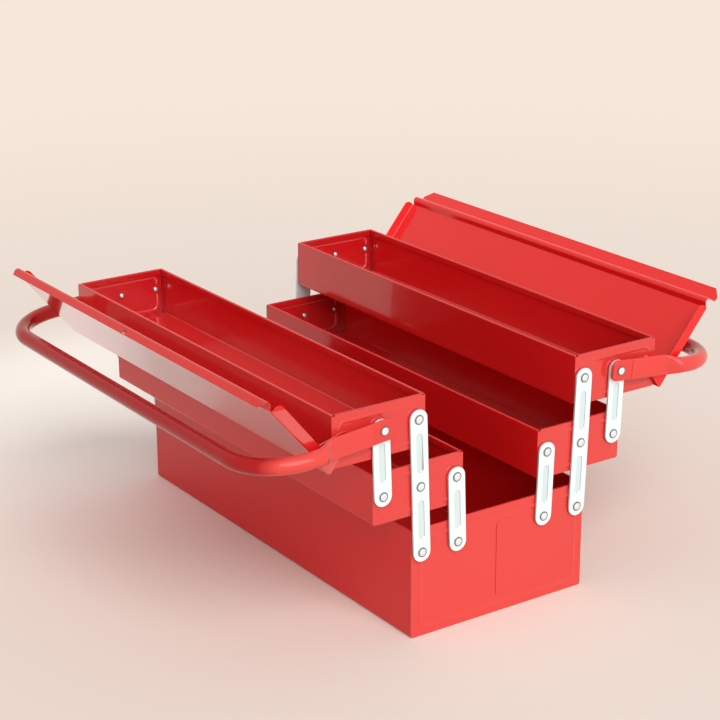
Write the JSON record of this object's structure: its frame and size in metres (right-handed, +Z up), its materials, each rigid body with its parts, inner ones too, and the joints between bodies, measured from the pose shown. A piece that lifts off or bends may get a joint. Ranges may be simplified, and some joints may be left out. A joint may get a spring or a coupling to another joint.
{
  "type": "cantilever tool box",
  "caption": "Cantilever tool box in painted sheet steel: a base box with hinged banks of trays on riveted links, each bank with a lid and a folding tube handle.",
  "frame": {"origin": "middle of the underside of the base", "axes": "+X along the length of the box, +Y towards the back bank, +Z up"},
  "size_m": [0.5148, 0.5402, 0.2662],
  "materials": {
    "red_paint": "gloss enamel",
    "zinc_plate": "bright zinc plate",
    "rivet_steel": "bright plated"
  },
  "bodies": {
    "base": {"base_shell": "red_paint", "base_end_right": "red_paint", "base_end_left": "red_paint", "base_rivets": "rivet_steel", "base_spacers": "zinc_plate"},
    "front_long_links": {"front_long_link_right": "zinc_plate", "front_long_link_left": "zinc_plate"},
    "front_lower_links": {"front_lower_link_right": "zinc_plate", "front_lower_link_left": "zinc_plate"},
    "front_mid_tray": {"front_mid_tray_pan": "red_paint", "front_mid_tray_end_right": "red_paint", "front_mid_tray_end_left": "red_paint", "front_mid_tray_rivets": "rivet_steel", "front_mid_tray_spacers": "zinc_plate"},
    "front_upper_links": {"front_upper_link_right": "zinc_plate", "front_upper_link_left": "zinc_plate"},
    "front_top_tray": {"front_top_tray_pan": "red_paint", "front_top_tray_end_right": "red_paint", "front_top_tray_end_left": "red_paint", "front_top_tray_rivets": "rivet_steel", "front_top_tray_spacers": "zinc_plate", "front_handle_rivets": "rivet_steel", "front_lid_rivets": "rivet_steel"},
    "front_lid": {"front_lid": "red_paint"},
    "front_handle": {"front_handle": "red_paint"},
    "back_long_links": {"back_long_link_right": "zinc_plate", "back_long_link_left": "zinc_plate"},
    "back_lower_links": {"back_lower_link_right": "zinc_plate", "back_lower_link_left": "zinc_plate"},
    "back_mid_tray": {"back_mid_tray_pan": "red_paint", "back_mid_tray_end_right": "red_paint", "back_mid_tray_end_left": "red_paint", "back_mid_tray_rivets": "rivet_steel", "back_mid_tray_spacers": "zinc_plate"},
    "back_upper_links": {"back_upper_link_right": "zinc_plate", "back_upper_link_left": "zinc_plate"},
    "back_top_tray": {"back_top_tray_pan": "red_paint", "back_top_tray_end_right": "red_paint", "back_top_tray_end_left": "red_paint", "back_top_tray_rivets": "rivet_steel", "back_top_tray_spacers": "zinc_plate", "back_handle_rivets": "rivet_steel", "back_lid_rivets": "rivet_steel"},
    "back_lid": {"back_lid": "red_paint"},
    "back_handle": {"back_handle": "red_paint"}
  },
  "joints": [
    {"name": "front_bank_swing", "type": "hinge", "parent": "base", "child": "front_long_links", "pos_m": [0, -0.09025, 0.085], "axis": [-1, 0, 0], "range_deg": [0, 40.97]},
    {"name": "front_mid_tray_pivot", "type": "hinge", "parent": "front_long_links", "child": "front_mid_tray", "pos_m": [0, -0.09248, 0.14895], "axis": [-1, 0, 0], "range_deg": [-41, 0]},
    {"name": "front_top_tray_pivot", "type": "hinge", "parent": "front_long_links", "child": "front_top_tray", "pos_m": [0, -0.09472, 0.21291], "axis": [-1, 0, 0], "range_deg": [-41, 0]},
    {"name": "front_lower_link_pivot", "type": "hinge", "parent": "base", "child": "front_lower_links", "pos_m": [0, -0.05, 0.085], "axis": [-1, 0, 0], "range_deg": [0, 41]},
    {"name": "front_upper_link_pivot", "type": "hinge", "parent": "front_mid_tray", "child": "front_upper_links", "pos_m": [0, -0.13273, 0.14895], "axis": [-1, 0, 0], "range_deg": [0, 41]},
    {"name": "front_handle_pivot", "type": "hinge", "parent": "front_top_tray", "child": "front_handle", "pos_m": [0, -0.13497, 0.21291], "axis": [-1, 0, 0], "range_deg": [0, 114.61]},
    {"name": "front_lid_pivot", "type": "hinge", "parent": "front_top_tray", "child": "front_lid", "pos_m": [0, -0.17522, 0.21291], "axis": [-1, 0, 0], "range_deg": [0, 130.72]},
    {"name": "back_bank_swing", "type": "hinge", "parent": "base", "child": "back_long_links", "pos_m": [0, 0.09025, 0.085], "axis": [1, 0, 0], "range_deg": [0, 40.97]},
    {"name": "back_mid_tray_pivot", "type": "hinge", "parent": "back_long_links", "child": "back_mid_tray", "pos_m": [0, 0.09248, 0.14895], "axis": [1, 0, 0], "range_deg": [-41, 0]},
    {"name": "back_top_tray_pivot", "type": "hinge", "parent": "back_long_links", "child": "back_top_tray", "pos_m": [0, 0.09472, 0.21291], "axis": [1, 0, 0], "range_deg": [-41, 0]},
    {"name": "back_lower_link_pivot", "type": "hinge", "parent": "base", "child": "back_lower_links", "pos_m": [0, 0.05, 0.085], "axis": [1, 0, 0], "range_deg": [0, 41]},
    {"name": "back_upper_link_pivot", "type": "hinge", "parent": "back_mid_tray", "child": "back_upper_links", "pos_m": [0, 0.13273, 0.14895], "axis": [1, 0, 0], "range_deg": [0, 41]},
    {"name": "back_handle_pivot", "type": "hinge", "parent": "back_top_tray", "child": "back_handle", "pos_m": [0, 0.13497, 0.21291], "axis": [1, 0, 0], "range_deg": [0, 114.61]},
    {"name": "back_lid_pivot", "type": "hinge", "parent": "back_top_tray", "child": "back_lid", "pos_m": [0, 0.17522, 0.21291], "axis": [1, 0, 0], "range_deg": [0, 130.72]}
  ],
  "couplings": [
    {"joint": "front_mid_tray_pivot", "follows": "front_bank_swing", "ratio": -1},
    {"joint": "front_top_tray_pivot", "follows": "front_bank_swing", "ratio": -1},
    {"joint": "front_lower_link_pivot", "follows": "front_bank_swing", "ratio": 1},
    {"joint": "front_upper_link_pivot", "follows": "front_bank_swing", "ratio": 1},
    {"joint": "front_lid_pivot", "follows": "front_handle_pivot", "ratio": 1.1404},
    {"joint": "back_mid_tray_pivot", "follows": "back_bank_swing", "ratio": -1},
    {"joint": "back_top_tray_pivot", "follows": "back_bank_swing", "ratio": -1},
    {"joint": "back_lower_link_pivot", "follows": "back_bank_swing", "ratio": 1},
    {"joint": "back_upper_link_pivot", "follows": "back_bank_swing", "ratio": 1},
    {"joint": "back_lid_pivot", "follows": "back_handle_pivot", "ratio": 1.1404}
  ]
}
